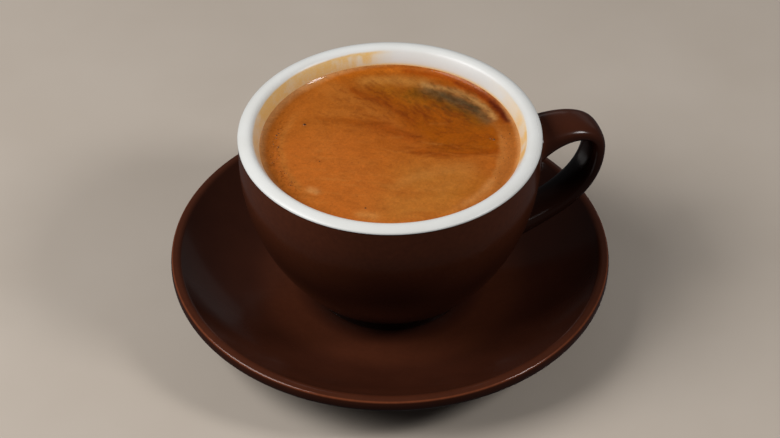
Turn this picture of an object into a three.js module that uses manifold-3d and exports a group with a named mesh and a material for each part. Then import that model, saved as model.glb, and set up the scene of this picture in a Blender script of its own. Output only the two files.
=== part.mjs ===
// A cup of black coffee under a full crema, standing on its saucer.
// Millimetres, +Z up. The origin is the middle of the saucer's foot ring, on the table, and the handle points along +X.

import * as THREE from "three";
import { mergeVertices } from "three/addons/utils/BufferGeometryUtils.js";
import Module from "manifold-3d";

// Saucer: a shallow dish of even thickness with a fully rounded lip
const saucerRadius = 76;
const saucerHeight = 22;
const saucerWall = 4.6;
const seatRadius = 31;
const seatHeight = 7.5;
const saucerFootOuter = 43;
const saucerFootInner = 37;

// Cup: an egg-shaped body with a thick round rim, on a low foot ring
const cupRadius = 50.9;
const rimTop = 73.85;
const rimRounding = 2.6;
const shoulderHeight = 64;
const bodyDepth = 73.5;
const bodyBulge = 2.08;
const bodyTaper = 1.2;
const cupFootTop = 10.9;
const cupFootRadius = 27.4;
const cupFootWidth = 4.5;
const cupFootRecess = 1.6;

// Hollow of the cup: straight below the rim's flare, then drawn in to a flat floor
const hollowRadius = 43.4;
const hollowTop = 62;
const hollowDepth = 62;
const hollowFloor = 16.5;
const rimJoinAngle = THREE.MathUtils.degToRad(142);

// Handle: a flat ribbon bent into an ear, its two roots sunk in the cup's wall
const handleReach = 73;
const handleReachHeight = 54;
const handleWidth = 14.5;
const handleThickness = 5.9;
const rootWidening = 5;
const rootThickening = 4;
const rootLength = 24;
const upperRoot = { radius: 47, height: 58.7, slope: THREE.MathUtils.degToRad(20.6) };
const lowerRoot = { radius: 34, height: 21.6, slope: THREE.MathUtils.degToRad(17.8) };
const lowerArmLength = 14.7;
const handleSquareness = 2.5;

// Coffee
const coffeeLevel = 68.5;

// Gap left between pieces that touch
const contactGap = 0.3;

// Number of flats that stand for the round shapes
const turnSegments = 60;
const curveSteps = 8;
const handleSteps = 24;
const handleSides = 20;

const wasm = await Module();
wasm.setup();

// The points of a circular arc in a profile, from one angle to another, both in radians
function arcPoints(centreRadius, centreHeight, size, fromAngle, toAngle, steps = curveSteps) {
  const points = [];
  for (let i = 0; i <= steps; i++) {
    const angle = THREE.MathUtils.lerp(fromAngle, toAngle, i / steps);
    points.push(
      new THREE.Vector2(centreRadius + size * Math.cos(angle), centreHeight + size * Math.sin(angle)),
    );
  }
  return points;
}

// The points of a profile whose radius is a function of height
function wallPoints(radiusAt, fromHeight, toHeight, steps = curveSteps) {
  const points = [];
  for (let i = 0; i <= steps; i++) {
    const height = THREE.MathUtils.lerp(fromHeight, toHeight, i / steps);
    points.push(new THREE.Vector2(radiusAt(height), height));
  }
  return points;
}

// A closed profile from the axis at the bottom to the axis at the top, turned about +Z
function turned(profile) {
  return new THREE.LatheGeometry(profile, turnSegments).rotateX(Math.PI / 2);
}

// The saucer's section: foot ring, underside, lip, dish and seat.
// The dish and the underside are arcs about one centre, and the lip's circle is tangent to both.
function saucerProfile() {
  const lip = saucerWall / 2;
  const lipRadius = saucerRadius - lip;
  const lipHeight = saucerHeight - lip;
  const run = lipRadius - seatRadius;
  const rise = lipHeight - seatHeight;
  const dishSize = (run * run + rise * rise - lip * lip) / (2 * (rise + lip));
  const dishCentre = seatHeight + dishSize;
  const dishAngle = Math.asin(run / (dishSize + lip));
  const down = -Math.PI / 2;
  const undersize = dishSize + saucerWall;
  const footAngle = Math.asin((saucerFootOuter - seatRadius) / undersize);
  return [
    new THREE.Vector2(0, seatHeight - saucerWall),
    new THREE.Vector2(saucerFootInner, seatHeight - saucerWall),
    new THREE.Vector2(saucerFootInner, 0),
    new THREE.Vector2(saucerFootOuter, 0),
    ...arcPoints(seatRadius, dishCentre, undersize, down + footAngle, down + dishAngle),
    ...arcPoints(lipRadius, lipHeight, lip, down + dishAngle, Math.PI + down + dishAngle).slice(1),
    ...arcPoints(seatRadius, dishCentre, dishSize, down + dishAngle, down).slice(1),
    new THREE.Vector2(0, seatHeight),
  ];
}

// The cup's outer radius: upright under the rim, then drawn in like the small end of an egg
function bodyRadius(height) {
  const drop = Math.max(shoulderHeight - height, 0) / bodyDepth;
  return cupRadius * (1 - drop ** bodyBulge) ** (1 / bodyTaper);
}

// The radius of the cup's hollow: it flares towards the rim and is drawn in below
function hollowRadiusAt(height) {
  if (height >= hollowTop) {
    const joinRadius = cupRadius - rimRounding + rimRounding * Math.cos(rimJoinAngle);
    const joinHeight = rimTop - rimRounding + rimRounding * Math.sin(rimJoinAngle);
    const part = (height - hollowTop) / (joinHeight - hollowTop);
    return hollowRadius + (joinRadius - hollowRadius) * part ** 3;
  }
  const drop = (hollowTop - height) / hollowDepth;
  return hollowRadius * (1 - drop ** bodyBulge) ** (1 / bodyTaper);
}

// The cup's section without its handle: foot ring, body, rim and hollow
function cupProfile() {
  const base = seatHeight + contactGap;
  const footInner = cupFootRadius - cupFootWidth;
  const rimRadius = cupRadius - rimRounding;
  const rimHeight = rimTop - rimRounding;
  const joinHeight = rimHeight + rimRounding * Math.sin(rimJoinAngle);
  return [
    new THREE.Vector2(0, base + cupFootRecess),
    new THREE.Vector2(footInner, base + cupFootRecess),
    new THREE.Vector2(footInner, base),
    new THREE.Vector2(cupFootRadius, base),
    new THREE.Vector2(cupFootRadius, cupFootTop),
    ...wallPoints(bodyRadius, cupFootTop, shoulderHeight, curveSteps + 4),
    ...arcPoints(rimRadius, rimHeight, rimRounding, 0, rimJoinAngle),
    ...wallPoints(hollowRadiusAt, joinHeight, hollowTop, 5).slice(1),
    ...wallPoints(hollowRadiusAt, hollowTop, hollowFloor).slice(1),
    new THREE.Vector2(0, hollowFloor),
  ];
}

// The coffee's section: the hollow, filled to the level, with the contact gap all round
function coffeeProfile() {
  const radiusAt = (height) => hollowRadiusAt(height) - contactGap;
  return [
    new THREE.Vector2(0, hollowFloor + contactGap),
    ...wallPoints(radiusAt, hollowFloor + contactGap, hollowTop),
    ...wallPoints(radiusAt, hollowTop, coffeeLevel, 3).slice(1),
    new THREE.Vector2(0, coffeeLevel),
  ];
}

// A point in the handle's plane, y = 0
function planePoint(radius, height) {
  return new THREE.Vector3(radius, 0, height);
}

// The point that lies a distance out from a root of the handle, along the root's slope
function alongRoot(root, distance) {
  return planePoint(
    root.radius + distance * Math.cos(root.slope),
    root.height + distance * Math.sin(root.slope),
  );
}

// The middle line of the handle: out of the wall, round the ear and back in at the lower root
function handlePath() {
  const outermost = planePoint(handleReach, handleReachHeight);
  const upperPull = 8.8;
  const topPull = 12;
  const sidePull = 15;
  const lowerPull = 13.9;
  const path = new THREE.CurvePath();
  path.add(
    new THREE.CubicBezierCurve3(
      alongRoot(upperRoot, 0),
      alongRoot(upperRoot, upperPull),
      planePoint(handleReach, handleReachHeight + topPull),
      outermost,
    ),
  );
  path.add(
    new THREE.CubicBezierCurve3(
      outermost,
      planePoint(handleReach, handleReachHeight - sidePull),
      alongRoot(lowerRoot, lowerArmLength + lowerPull),
      alongRoot(lowerRoot, lowerArmLength),
    ),
  );
  path.add(new THREE.LineCurve3(alongRoot(lowerRoot, lowerArmLength), alongRoot(lowerRoot, 0)));
  return path;
}

// One ring of the handle's skin: a rounded oblong across the path, larger near the two roots
function handleRing(path, part) {
  const centre = path.getPointAt(part);
  const along = path.getTangentAt(part);
  const outward = new THREE.Vector3(-along.z, 0, along.x);
  const fromEnd = Math.min(part, 1 - part) * path.getLength();
  const nearRoot = Math.max(1 - fromEnd / rootLength, 0) ** 2;
  const halfWidth = (handleWidth + rootWidening * nearRoot) / 2;
  const halfThickness = (handleThickness + rootThickening * nearRoot) / 2;
  const squared = (value) => Math.sign(value) * Math.abs(value) ** (2 / handleSquareness);
  const ring = [];
  for (let i = 0; i < handleSides; i++) {
    const angle = (2 * Math.PI * i) / handleSides;
    const point = centre.clone().addScaledVector(outward, halfThickness * squared(Math.sin(angle)));
    point.y += halfWidth * squared(Math.cos(angle));
    ring.push(point);
  }
  return ring;
}

// A closed skin over a row of rings, with a fan of triangles across each end
function loft(rings) {
  const count = rings[0].length;
  const lastRing = (rings.length - 1) * count;
  const faces = [];
  for (let start = 0; start < lastRing; start += count) {
    for (let i = 0; i < count; i++) {
      const here = start + i;
      const next = start + ((i + 1) % count);
      faces.push(here, next, next + count, here, next + count, here + count);
    }
  }
  for (let i = 1; i + 1 < count; i++) {
    faces.push(0, i + 1, i);
    faces.push(lastRing, lastRing + i, lastRing + i + 1);
  }
  return new THREE.BufferGeometry().setFromPoints(rings.flat()).setIndex(faces);
}

function handleGeometry() {
  const path = handlePath();
  const rings = [];
  for (let i = 0; i <= handleSteps; i++) {
    rings.push(handleRing(path, i / handleSteps));
  }
  return loft(rings);
}

// A geometry as a solid that can be joined to another
function solidOf(geometry) {
  const bare = geometry.clone();
  bare.deleteAttribute("normal");
  bare.deleteAttribute("uv");
  const merged = mergeVertices(bare, 1e-3);
  return new wasm.Manifold(
    new wasm.Mesh({
      numProp: 3,
      vertProperties: new Float32Array(merged.attributes.position.array),
      triVerts: new Uint32Array(merged.index.array),
    }),
  );
}

function geometryOf(solid) {
  const mesh = solid.getMesh();
  const geometry = new THREE.BufferGeometry();
  geometry.setAttribute("position", new THREE.BufferAttribute(mesh.vertProperties, 3));
  geometry.setIndex(new THREE.BufferAttribute(mesh.triVerts, 1));
  geometry.computeVertexNormals();
  return geometry;
}

// The cup is one fired piece: the turned body and the handle run into each other
function cupGeometry() {
  const body = solidOf(turned(cupProfile()));
  const handle = solidOf(handleGeometry());
  return geometryOf(body.add(handle));
}

function piece(name, geometry, colour, roughness) {
  const material = new THREE.MeshStandardMaterial({ color: colour, roughness, metalness: 0 });
  const mesh = new THREE.Mesh(geometry, material);
  mesh.name = name;
  return mesh;
}

const brownGlaze = 0x37201a;
const cremaBrown = 0xb46e30;

const coffeeCup = new THREE.Group();
coffeeCup.name = "coffee_in_cup";
coffeeCup.add(piece("saucer", turned(saucerProfile()), brownGlaze, 0.3));
coffeeCup.add(piece("cup", cupGeometry(), brownGlaze, 0.3));
coffeeCup.add(piece("coffee", turned(coffeeProfile()), cremaBrown, 0.35));

export default coffeeCup;
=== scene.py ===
"""A cup of black coffee under a full crema, standing on its saucer.

Shapes are worked out in millimetres and become metres when their mesh is made. The row frame has the
handle along +X. Marks on the crema, the film on the wall and the lights are placed in the view's own
frame: u to the right, v away from the camera and z up, with the saucer's axis at u = v = 0. Angles round
the cup are degrees in that frame, with 0 at the right and 90 at the back.
"""

import math
from itertools import chain

import bpy
import numpy as np
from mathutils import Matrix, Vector


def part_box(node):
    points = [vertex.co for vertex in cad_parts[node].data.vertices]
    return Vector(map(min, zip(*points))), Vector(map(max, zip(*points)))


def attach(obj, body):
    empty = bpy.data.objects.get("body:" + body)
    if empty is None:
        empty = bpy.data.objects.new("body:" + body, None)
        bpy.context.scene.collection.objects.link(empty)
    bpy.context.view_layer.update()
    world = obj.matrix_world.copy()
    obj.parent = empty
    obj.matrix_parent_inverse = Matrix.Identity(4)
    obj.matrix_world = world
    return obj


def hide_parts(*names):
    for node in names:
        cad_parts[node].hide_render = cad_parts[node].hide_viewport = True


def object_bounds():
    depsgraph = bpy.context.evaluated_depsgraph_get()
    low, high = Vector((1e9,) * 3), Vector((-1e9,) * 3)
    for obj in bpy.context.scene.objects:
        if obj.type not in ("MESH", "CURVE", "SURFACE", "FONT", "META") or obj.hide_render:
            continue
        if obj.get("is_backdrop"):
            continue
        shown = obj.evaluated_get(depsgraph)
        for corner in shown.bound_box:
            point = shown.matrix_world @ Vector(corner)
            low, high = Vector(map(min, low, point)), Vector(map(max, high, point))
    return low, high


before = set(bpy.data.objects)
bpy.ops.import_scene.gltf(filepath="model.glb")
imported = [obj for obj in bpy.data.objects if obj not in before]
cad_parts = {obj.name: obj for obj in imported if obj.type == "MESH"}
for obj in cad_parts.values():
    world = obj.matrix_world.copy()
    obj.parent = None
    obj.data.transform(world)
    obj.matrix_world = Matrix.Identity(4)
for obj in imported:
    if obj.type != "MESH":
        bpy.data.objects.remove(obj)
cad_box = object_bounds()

MM = 0.001


def box_of(node):
    """The lowest and highest corner of a CAD node, in millimetres."""
    low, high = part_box(node)
    return low / MM, high / MM


# Saucer
SAUCER_RADIUS = box_of("saucer")[1].x
SAUCER_HEIGHT = box_of("saucer")[1].z
SAUCER_WALL = 4.6
SEAT_RADIUS = 31
SEAT_HEIGHT = 7.5
SEAT_RINGS = (0.8, 0.4, 0)
SAUCER_FOOT_OUTER = 43
SAUCER_FOOT_INNER = 37
SAUCER_FOOT_ROUNDING = 1.1

# Saucer's lip: a half round, drawn out at a crest and at a lower outer edge, each by its turn about the
# lip's middle, in degrees with 0 outward and 90 up, its rise as a share of the lip's size, and its spread
LIP_SIZE = SAUCER_WALL / 2
LIP_RADIUS = SAUCER_RADIUS - LIP_SIZE
LIP_HEIGHT = SAUCER_HEIGHT - LIP_SIZE
LIP_CREST_TURN = 42
LIP_EDGES = ((LIP_CREST_TURN, 0.12, 18), (-50, 0.22, 28))

# Cup
CUP_RADIUS = box_of("cup")[1].y
CUP_BASE = box_of("cup")[0].z
SHOULDER_HEIGHT = 64
BODY_DEPTH = 73.5
BODY_BULGE = 2.08
BODY_TAPER = 1.2
CUP_FOOT_TOP = 11.4
CUP_FOOT_UNDERCUT = 0.7
CUP_FOOT_WIDTH = 4.7
CUP_FOOT_RECESS = 1.6
CUP_FOOT_ROUNDING = 0.5
WAIST_TOP = 18
WAIST_DRAW = 0.9

# Rim: a tight outer edge, a low dome that leans out to it, and a rounding down into the hollow
RIM_EDGE = 0.7
RIM_EDGE_HEIGHT = 72.15
RIM_LEAN = math.radians(55)
RIM_DOME = 4.6
RIM_ROUNDING = 2.6
RIM_CREST_RADIUS = CUP_RADIUS - RIM_EDGE + (RIM_EDGE - RIM_DOME) * math.cos(RIM_LEAN)
RIM_CREST_HEIGHT = RIM_EDGE_HEIGHT + (RIM_EDGE - RIM_DOME) * math.sin(RIM_LEAN) + RIM_DOME

# Hollow of the cup
HOLLOW_RADIUS = 43.4
HOLLOW_TOP = 62
HOLLOW_DEPTH = 62
HOLLOW_FLOOR = 16.5
HOLLOW_FLARE = 3
RIM_JOIN_ANGLE = math.radians(142)
RIM_JOIN_RADIUS = RIM_CREST_RADIUS + RIM_ROUNDING * math.cos(RIM_JOIN_ANGLE)
RIM_JOIN_HEIGHT = RIM_CREST_HEIGHT + RIM_ROUNDING * (math.sin(RIM_JOIN_ANGLE) - 1)

# Handle
HANDLE_OUTERMOST = np.array([73, 54])
HANDLE_WIDTH = 14.5
HANDLE_THICKNESS = 5.9
HANDLE_SQUARENESS = 2.5
ROOT_WIDENING = 5
UPPER_THICKENING = 8
LOWER_THICKENING = 4.5
ROOT_LENGTH = 24
ROOT_TAPER = 1.5
UPPER_ROOT = np.array([47, 56.6])
UPPER_SLOPE = math.radians(42)
LOWER_ROOT = np.array([34, 21.6])
LOWER_SLOPE = math.radians(17.8)
LOWER_ARM_LENGTH = 14.7
UPPER_PULL = 10.3
TOP_PULL = 12.2
SIDE_PULL = 15
LOWER_PULL = 13.9

# Fillets where the handle meets the wall, and how far their edge and their end are sunk into it
UPPER_FILLET = 2
LOWER_FILLET = 4
FILLET_SEARCH = 32
FILLET_EDGE_SUNK = 0.03
FILLET_END_SUNK = 0.9

# White glaze: how far it stands proud, how deep its skin is sunk, and where it ends outside the rim
LINING_PROUD = 0.12
LINING_SUNK = 0.4
LINING_EDGE = math.radians(2)

# Coffee: it bites into the white glaze a little, and climbs the wall to its level
COFFEE_LEVEL = box_of("coffee")[1].z
COFFEE_BITE = 0.25
COFFEE_SIDE_DROP = 1
MENISCUS_RISE = 1.8
MENISCUS_REACH = 1.1
FOAM_RELIEF = 0.05

# Fineness of the meshes. The crema's grid crowds a little towards the wall.
TURN_SEGMENTS = 256
LINING_SEGMENTS = 512
HANDLE_SIDES = 64
HANDLE_RINGS = 96
CREMA_CELLS = 256
CREMA_CROWDING = 0.1
CREMA_CROWDING_POWER = 5
COFFEE_SIDE_RINGS = 16

# View: its turn from the row frame, and the camera's elevation, distance, aim and lens
VIEW_TURN = math.radians(15.64)
TURN_COS = math.cos(VIEW_TURN)
TURN_SIN = math.sin(VIEW_TURN)
VIEW_ELEVATION = math.radians(40.84)
VIEW_DISTANCE = 860.2
VIEW_AIM_HEIGHT = 34.9
VIEW_LENS = 115.4


def to_row(u, v):
    """The row frame's x and y of a place in the view's frame."""
    return u * TURN_COS + v * TURN_SIN, v * TURN_COS - u * TURN_SIN


def to_view(points):
    """The view frame's u and v of points in the row frame."""
    x, y = points[:, 0], points[:, 1]
    return x * TURN_COS - y * TURN_SIN, x * TURN_SIN + y * TURN_COS


def angle_round(u, v, seam=-180):
    """The angle of a place round the cup, counted up from the seam."""
    around = np.degrees(np.arctan2(v, u))
    return np.where(around < seam, around + 360, around)


def linear(red, green, blue):
    """A display colour, 0 to 255, as the linear colour that shaders use."""
    shares = np.array([red, green, blue]) / 255
    return np.where(shares <= 0.04045, shares / 12.92, ((shares + 0.055) / 1.055) ** 2.4)


def lerp(first, second, part):
    return first + (second - first) * part


def smooth_step(start, full, value):
    """0 up to the start, 1 from full on and an even curve between. It falls where full is the lower one."""
    part = np.clip((value - start) / (full - start), 0, 1)
    return part * part * (3 - 2 * part)


def change(rule, value):
    """A rule's first amount up to its start, its second from full on, and a smooth step between."""
    first, second, start, full = rule
    return lerp(first, second, smooth_step(start, full, value))


def between(limits, value):
    """1 between the middle two of four limits, fading to 0 at the outer two."""
    start, full, last, end = limits
    return smooth_step(start, full, value) * smooth_step(end, last, value)


def bell(distance, width):
    """1 at no distance, fading over the width."""
    return np.exp(-((distance / width) ** 2))


NOISE_TABLE = 64
CLOUD_RANGE = 1.5


def noise(u, v, size, seed):
    """Smooth random values from -1 to 1 that change over about this size."""
    table = np.random.default_rng(seed).uniform(-1, 1, (NOISE_TABLE, NOISE_TABLE))
    column = np.floor(u / size).astype(int)
    row = np.floor(v / size).astype(int)
    part_across = smooth_step(0, 1, u / size - column)
    part_up = smooth_step(0, 1, v / size - row)

    def corner(right, up):
        return table[(row + up) % NOISE_TABLE, (column + right) % NOISE_TABLE]

    lower = lerp(corner(0, 0), corner(1, 0), part_across)
    upper = lerp(corner(0, 1), corner(1, 1), part_across)
    return lerp(lower, upper, part_up)


def cloud(u, v, size, seed, octaves=4):
    """Noise in several octaves, each half the size and strength of the one before."""
    total = 0
    for octave in range(octaves):
        total = total + noise(u, v, size / 2**octave, seed + octave) / 2**octave
    return total / CLOUD_RANGE


# Meshes


def from_axis(points):
    return np.hypot(points[..., 0], points[..., 1])


def unit(vectors):
    return vectors / np.linalg.norm(vectors, axis=-1, keepdims=True)


def arc(centre_radius, centre_height, size, start, end, steps):
    angles = np.linspace(start, end, steps + 1)
    return np.stack([centre_radius + size * np.cos(angles), centre_height + size * np.sin(angles)], 1)


def rings_of(profile, turn):
    """Rings of points from radii and heights, one point at each turn about +Z."""
    rings = np.empty((len(profile), len(turn), 3))
    rings[:, :, 0] = profile[:, :1] * np.cos(turn)
    rings[:, :, 1] = profile[:, :1] * np.sin(turn)
    rings[:, :, 2] = profile[:, 1:]
    return rings


def turned(profile, segments):
    """Points and faces of a profile turned about +Z. Its first and last point lie on the axis."""
    turn = np.linspace(0, 2 * math.pi, segments, endpoint=False)
    return capped(rings_of(profile[1:-1], turn), [0, 0, profile[0][1]], [0, 0, profile[-1][1]])


def bands(index):
    """Faces between rings of point numbers, each ring joined to the one that follows it."""
    following = np.roll(index, -1, axis=1)
    return np.stack([index[:-1], following[:-1], following[1:], index[1:]], 2).reshape(-1, 4).tolist()


def fan(tip, ring):
    """Faces from one point to a ring of point numbers."""
    return np.stack([np.full(len(ring), tip), np.roll(ring, -1), ring], 1).tolist()


def capped(rings, first_tip, last_tip):
    """Points and faces of a skin over closed rings, drawn together to a tip at each end."""
    index = np.arange(rings[..., 0].size).reshape(rings.shape[:2])
    points = np.concatenate([rings.reshape(-1, 3), [first_tip, last_tip]])
    return points, bands(index) + fan(index.size, index[0]) + fan(index.size + 1, index[-1, ::-1])


def new_mesh(name, points, faces):
    """A smooth-shaded mesh object from points in millimetres."""
    mesh = bpy.data.meshes.new(name)
    mesh.from_pydata((np.asarray(points) * MM).tolist(), [], faces)
    mesh.shade_smooth()
    piece = bpy.data.objects.new(name, mesh)
    bpy.context.scene.collection.objects.link(piece)
    return piece


def points_of(piece):
    """The points of a piece's mesh, in millimetres."""
    flat = np.empty(len(piece.data.vertices) * 3)
    piece.data.vertices.foreach_get("co", flat)
    return flat.reshape(-1, 3) / MM


def give_values(piece, name, values):
    """Adds one number for each point of a piece, for its material to read."""
    attribute = piece.data.attributes.new(name, "FLOAT", "POINT")
    attribute.data.foreach_set("value", np.asarray(values, np.float32))


def give_colours(piece, name, colours):
    """Adds one linear colour for each point of a piece, for its material to read."""
    attribute = piece.data.attributes.new(name, "FLOAT_COLOR", "POINT")
    with_alpha = np.concatenate([colours, np.ones((len(colours), 1))], 1)
    attribute.data.foreach_set("color", with_alpha.astype(np.float32).ravel())


def dress(piece, material, slot, *nodes):
    """Gives a piece its material, hangs it on the root body, and hides the CAD nodes that it stands for."""
    piece.data.materials.clear()
    piece.data.materials.append(material)
    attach(piece, "root")
    if nodes:
        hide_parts(*nodes)


# Shader nodes

# Parts of a noise node's range that are spread out to another range
USUAL_NOISE = (0.3, 0.7)
MIDDLE_NOISE = (0.35, 0.65)


def new_material(name):
    """A node material, with its tree and its Principled shader."""
    material = bpy.data.materials.new(name)
    material.use_nodes = True
    return material, material.node_tree, material.node_tree.nodes["Principled BSDF"]


def add_node(tree, kind, inputs, **settings):
    made = tree.nodes.new(kind)
    for name, value in settings.items():
        setattr(made, name, value)
    set_inputs(tree, made, inputs)
    return made


def set_inputs(tree, node, inputs):
    """Sets a node's inputs to values, or links them to other nodes' outputs."""
    for name, value in inputs.items():
        if isinstance(value, bpy.types.NodeSocket):
            tree.links.new(value, node.inputs[name])
        else:
            node.inputs[name].default_value = value


def read_value(tree, name, output="Fac"):
    return add_node(tree, "ShaderNodeAttribute", {}, attribute_name=name).outputs[output]


def noise_node(tree, size, detail=3.0):
    """Noise from 0 to 1 on the piece itself that changes over about this many millimetres."""
    place = add_node(tree, "ShaderNodeTexCoord", {}).outputs["Object"]
    inputs = {"Vector": place, "Scale": 1 / (size * MM), "Detail": detail}
    return add_node(tree, "ShaderNodeTexNoise", inputs).outputs["Fac"]


def remap(tree, value, low, high, new_low, new_high):
    inputs = {"Value": value, "From Min": low, "From Max": high, "To Min": new_low, "To Max": new_high}
    return add_node(tree, "ShaderNodeMapRange", inputs).outputs["Result"]


def noise_range(tree, size, low, high, taken=USUAL_NOISE, detail=3.0):
    """Noise of this size, with the part of its range that is taken spread from low to high."""
    return remap(tree, noise_node(tree, size, detail), *taken, low, high)


def calculate(tree, operation, first, second):
    return add_node(tree, "ShaderNodeMath", {0: first, 1: second}, operation=operation).outputs[0]


def mix_colours(tree, part, first, second, mode="MIX"):
    inputs = {0: part, 6: opaque(first), 7: opaque(second)}
    return add_node(tree, "ShaderNodeMix", inputs, data_type="RGBA", blend_type=mode).outputs[2]


def opaque(colour):
    if isinstance(colour, bpy.types.NodeSocket):
        return colour
    return (*colour, 1)


def bumpy(tree, height, strength, distance):
    inputs = {"Height": height, "Strength": strength, "Distance": distance * MM}
    return add_node(tree, "ShaderNodeBump", inputs).outputs["Normal"]


# Materials

# Roughness of the brown glaze, how far it drifts, and what bare clay adds to it
SAUCER_ROUGHNESS = 0.13
CUP_ROUGHNESS = 0.175
ROUGHNESS_DRIFT = 0.03
BARE_DULLNESS = 0.5


def brown_glaze(name, roughness):
    """Satin dark brown glaze: redder where it runs thin and under painted light, darker under painted shade,
    bare clay under the feet.
    """
    material, tree, shader = new_material(name)
    deep = (0.046, 0.0125, 0.0062)
    deeper = (0.040, 0.0108, 0.0054)
    # Reddish: thin glaze, and the colour of painted light
    thin_glaze_and_painted_light = (0.175, 0.046, 0.018)
    # Darkest brown: the colour of painted shade
    painted_shade_colour = (0.013, 0.0055, 0.0038)
    clay = (0.45, 0.33, 0.24)
    drift = noise_range(tree, size=14, low=0, high=1, taken=MIDDLE_NOISE)
    colour = mix_colours(tree, drift, deeper, deep)
    ragged = noise_range(tree, size=1.6, low=0.8, high=1.15)
    ragged_thin_and_painted_light = calculate(tree, "MULTIPLY", read_value(tree, "thin_glaze_and_painted_light"), ragged)
    colour = mix_colours(tree, ragged_thin_and_painted_light, colour, thin_glaze_and_painted_light)
    # Painted shade darkens the glaze and, where it is deep, dulls it
    painted_shade = read_value(tree, "painted_shade")
    colour = mix_colours(tree, painted_shade, colour, painted_shade_colour)
    bare = read_value(tree, "bare")
    colour = mix_colours(tree, bare, colour, clay)
    satin = noise_range(tree, size=5, low=roughness, high=roughness + ROUGHNESS_DRIFT)
    bare_dull = calculate(tree, "MULTIPLY", bare, BARE_DULLNESS)
    dull_where_shaded = remap(tree, painted_shade, low=0.75, high=1, new_low=0, new_high=0.2)
    dull = calculate(tree, "ADD", calculate(tree, "ADD", satin, bare_dull), dull_where_shaded)
    normal = bumpy(tree, noise_node(tree, size=2.6), strength=0.1, distance=0.04)
    inputs = {"Base Color": colour, "Roughness": dull, "Specular IOR Level": 0.25, "Normal": normal}
    set_inputs(tree, shader, inputs)
    return material


def white_glaze():
    """Glossy white glaze, with a tan film where crema has dried on the wall."""
    material, tree, shader = new_material("white_glaze")
    white = (0.80, 0.80, 0.775)
    cream = (0.76, 0.755, 0.72)
    tan = (0.87, 0.55, 0.19)
    pale_tan = (0.86, 0.68, 0.40)
    drift = noise_range(tree, size=18, low=0, high=1, taken=MIDDLE_NOISE)
    colour = mix_colours(tree, drift, white, cream)
    film = read_value(tree, "film")
    grain = noise_range(tree, size=0.6, low=0.85, high=1.1)
    stain = mix_colours(tree, film, pale_tan, tan)
    colour = mix_colours(tree, calculate(tree, "MULTIPLY", film, grain), colour, stain)
    dull = remap(tree, film, low=0, high=1, new_low=0.34, new_high=0.28)
    normal = bumpy(tree, noise_node(tree, size=3), strength=0.06, distance=0.04)
    inputs = {"Base Color": colour, "Roughness": dull, "Specular IOR Level": 0.4, "Normal": normal}
    set_inputs(tree, shader, inputs)
    return material


def crema():
    """Crema: its painted marks under a fine grain, wet where it climbs the wall."""
    material, tree, shader = new_material("crema")
    grain = noise_range(tree, size=0.55, low=0.9, high=1.1, taken=(0.25, 0.75), detail=2.0)
    pores = noise_range(tree, size=0.8, low=0.78, high=1, taken=(0.2, 0.33), detail=1.0)
    shade = calculate(tree, "MULTIPLY", grain, pores)
    colour = mix_colours(tree, 1.0, read_value(tree, "crema", "Color"), shade, "MULTIPLY")
    normal = bumpy(tree, noise_node(tree, size=0.7, detail=2.0), strength=0.25, distance=0.08)
    inputs = {"Base Color": colour, "Roughness": 0.5, "Specular IOR Level": 0.1, "Normal": normal}
    set_inputs(tree, shader, inputs)
    coat = {"Coat Weight": read_value(tree, "wet"), "Coat Roughness": 0.06, "Coat IOR": 1.4}
    set_inputs(tree, shader, coat)
    return material


def bubble_skin():
    """Thin bubbles, pale round their edge, with the dark drink showing through their top."""
    material, tree, shader = new_material("bubble_skin")
    dark = linear(40, 18, 5)
    light = linear(170, 100, 42)
    colour = mix_colours(tree, read_value(tree, "height"), light, dark)
    set_inputs(tree, shader, {"Base Color": colour, "Roughness": 0.25})
    return material


def plain_floor():
    material, tree, shader = new_material("plain_floor")
    darker = (0.5, 0.43, 0.36)
    lighter = (0.53, 0.46, 0.39)
    colour = mix_colours(tree, noise_range(tree, size=60, low=0, high=1), darker, lighter)
    set_inputs(tree, shader, {"Base Color": colour, "Roughness": 0.6})
    return material


# Saucer

# Where its glaze runs thin, and where light and shade are painted on. Places on the lip are degrees from its
# crest, and elsewhere radii.
# The crest's thin glaze is drawn as a narrow line that is also a painted highlight
LIP_LINE_SPREAD = 8
LIP_INSIDE = (-5, 10, 30, 95)
LIP_INSIDE_THIN = 0.13
# Painted shade on the lip's outer side, below its crest
LIP_OUTSIDE_PAINTED_SHADE = (0, 0.25, -20, -45)
LIP_START = SAUCER_RADIUS - SAUCER_WALL
LIP_BLEND = 1.5
# Painted light: a lighter ring on the dish round the cup's foot
ROUND_CUP_FOOT = (30.5, 35, 40, 51)
ROUND_CUP_FOOT_PAINTED_LIGHT = 0.16
# Painted shadow: a dark ring in the seat at the cup's foot
SEAT_PAINTED_SHADOW = (0, 0.9, 30.5, 27.8)
SAUCER_BARE_HEIGHT = 0.4


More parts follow.
